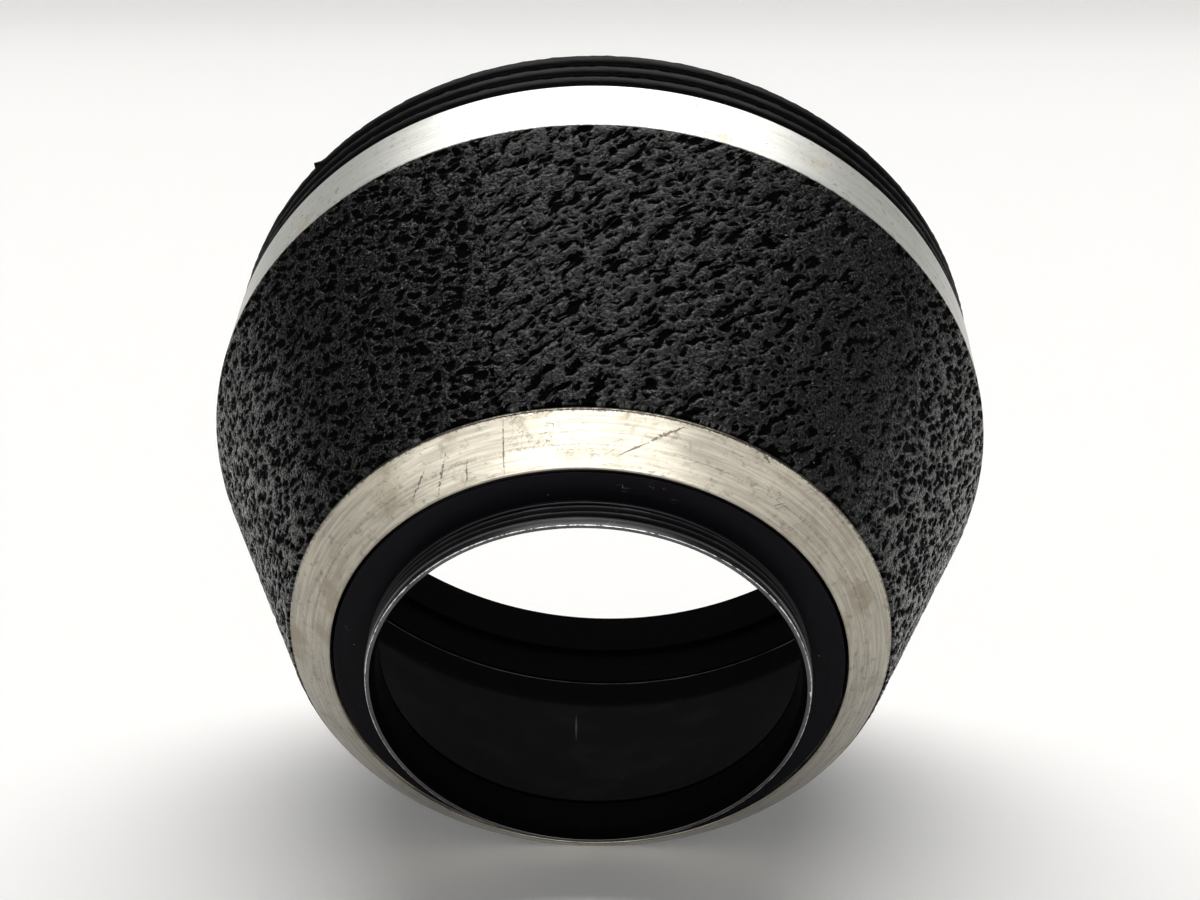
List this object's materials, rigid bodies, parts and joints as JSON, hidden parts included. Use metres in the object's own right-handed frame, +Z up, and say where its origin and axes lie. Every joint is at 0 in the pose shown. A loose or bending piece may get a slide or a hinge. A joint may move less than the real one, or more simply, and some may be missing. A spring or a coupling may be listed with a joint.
{
  "type": "lens hood",
  "caption": "Conical screw-in lens hood with a black leather-covered cone, bare aluminium rings, a threaded mount collar and a ribbed front rim.",
  "frame": {"origin": "middle of the hood's box at the height of the surface it lies on", "axes": "+X across the hood, +Y level from the lens end towards the front, +Z up; the optical axis climbs from the lens end in the YZ plane"},
  "size_m": [0.079, 0.0672, 0.078],
  "materials": {
    "black_anodised": "satin black anodised, worn bright at the edge",
    "bare_bevel": "bare turned aluminium, scratched and stained",
    "matt_black_paint": "matt black paint inside a turned aluminium cone",
    "black_leather": "coarse pebbled black leather",
    "bare_band": "bare satin aluminium",
    "black_rim": "satin black anodised"
  },
  "bodies": {
    "hood": {"bevel_ring": "bare_bevel", "cone_body": "matt_black_paint", "leather_cover": "black_leather", "front_band": "bare_band"},
    "collar": {"mount_collar": "black_anodised"},
    "rim": {"ribbed_rim": "black_rim"}
  },
  "joints": [
    {"name": "collar_unscrew", "type": "slide", "parent": "hood", "child": "collar", "axis": [0, -0.9186, -0.3951], "range_m": [0, 0.006]},
    {"name": "rim_unscrew", "type": "slide", "parent": "hood", "child": "rim", "axis": [0, 0.9186, 0.3951], "range_m": [0, 0.008]}
  ]
}
